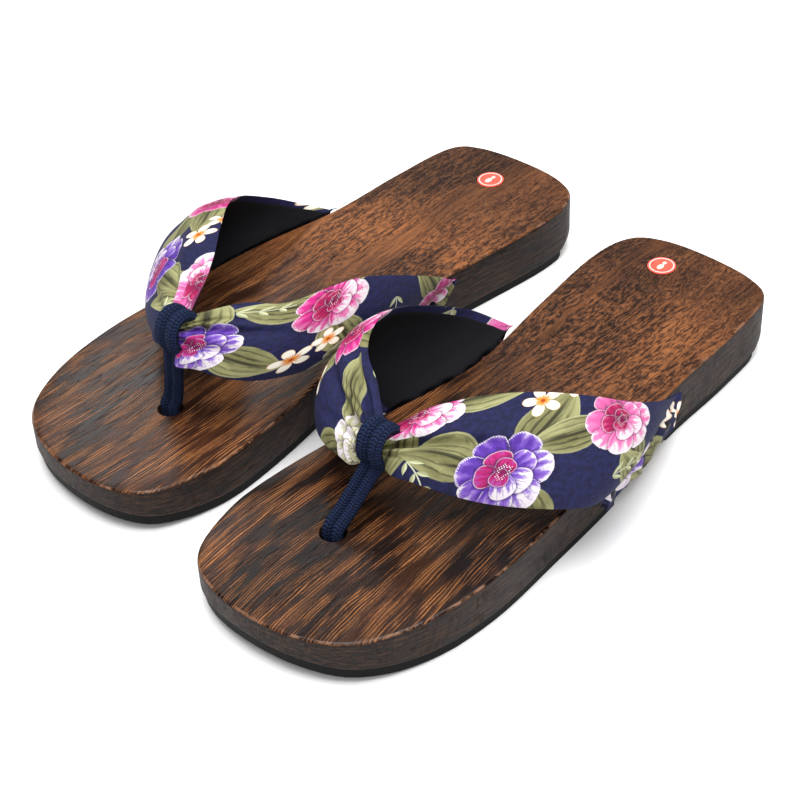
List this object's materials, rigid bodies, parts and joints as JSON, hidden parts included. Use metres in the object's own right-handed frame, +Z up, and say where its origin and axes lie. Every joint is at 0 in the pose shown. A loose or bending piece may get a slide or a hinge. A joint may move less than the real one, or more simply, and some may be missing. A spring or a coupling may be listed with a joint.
{
  "type": "pair of thong sandals",
  "caption": "Pair of wooden thong sandals: flat scorched-wood soles on rubber, wide padded fabric straps in two arms and a cord toe post.",
  "frame": {"origin": "middle of the ground under the pair's bounding box", "axes": "+Z up, toes towards -Y, the wearer's left foot at +X and right foot at -X"},
  "size_m": [0.219, 0.2592, 0.0637],
  "materials": {
    "scorched_wood": "scorched open grain, oiled to a low gloss",
    "outsole_rubber": "black, matt, grooved across",
    "navy_cord": "knitted navy cotton cord",
    "printed_cotton": "navy cotton with a printed flower pattern and glitter outlines",
    "strap_foam": "soft open foam",
    "navy_lining": "plain woven navy cotton",
    "tack_steel": "blackened steel",
    "sticker_film": "glossy red film",
    "sticker_ink": "pale printed ink"
  },
  "bodies": {
    "left_sandal": {"left_wood_sole": "scorched_wood", "left_front_outsole": "outsole_rubber", "left_heel_outsole": "outsole_rubber", "left_toe_post": "navy_cord", "left_toe_knot": "navy_cord", "left_inner_cover": "printed_cotton", "left_inner_padding": "strap_foam", "left_inner_lining": "navy_lining", "left_outer_cover": "printed_cotton", "left_outer_padding": "strap_foam", "left_outer_lining": "navy_lining", "left_inner_tab": "printed_cotton", "left_outer_tab": "printed_cotton", "left_inner_tacks": "tack_steel", "left_outer_tacks": "tack_steel", "left_size_sticker": "sticker_film", "left_sticker_print": "sticker_ink"},
    "right_sandal": {"right_wood_sole": "scorched_wood", "right_front_outsole": "outsole_rubber", "right_heel_outsole": "outsole_rubber", "right_toe_post": "navy_cord", "right_toe_knot": "navy_cord", "right_inner_cover": "printed_cotton", "right_inner_padding": "strap_foam", "right_inner_lining": "navy_lining", "right_outer_cover": "printed_cotton", "right_outer_padding": "strap_foam", "right_outer_lining": "navy_lining", "right_inner_tab": "printed_cotton", "right_outer_tab": "printed_cotton", "right_inner_tacks": "tack_steel", "right_outer_tacks": "tack_steel", "right_size_sticker": "sticker_film", "right_sticker_print": "sticker_ink"}
  },
  "joints": [
    {"name": "right_sandal_lift", "type": "slide", "parent": "left_sandal", "child": "right_sandal", "axis": [0, 0, 1], "range_m": [0, 0.12]}
  ]
}
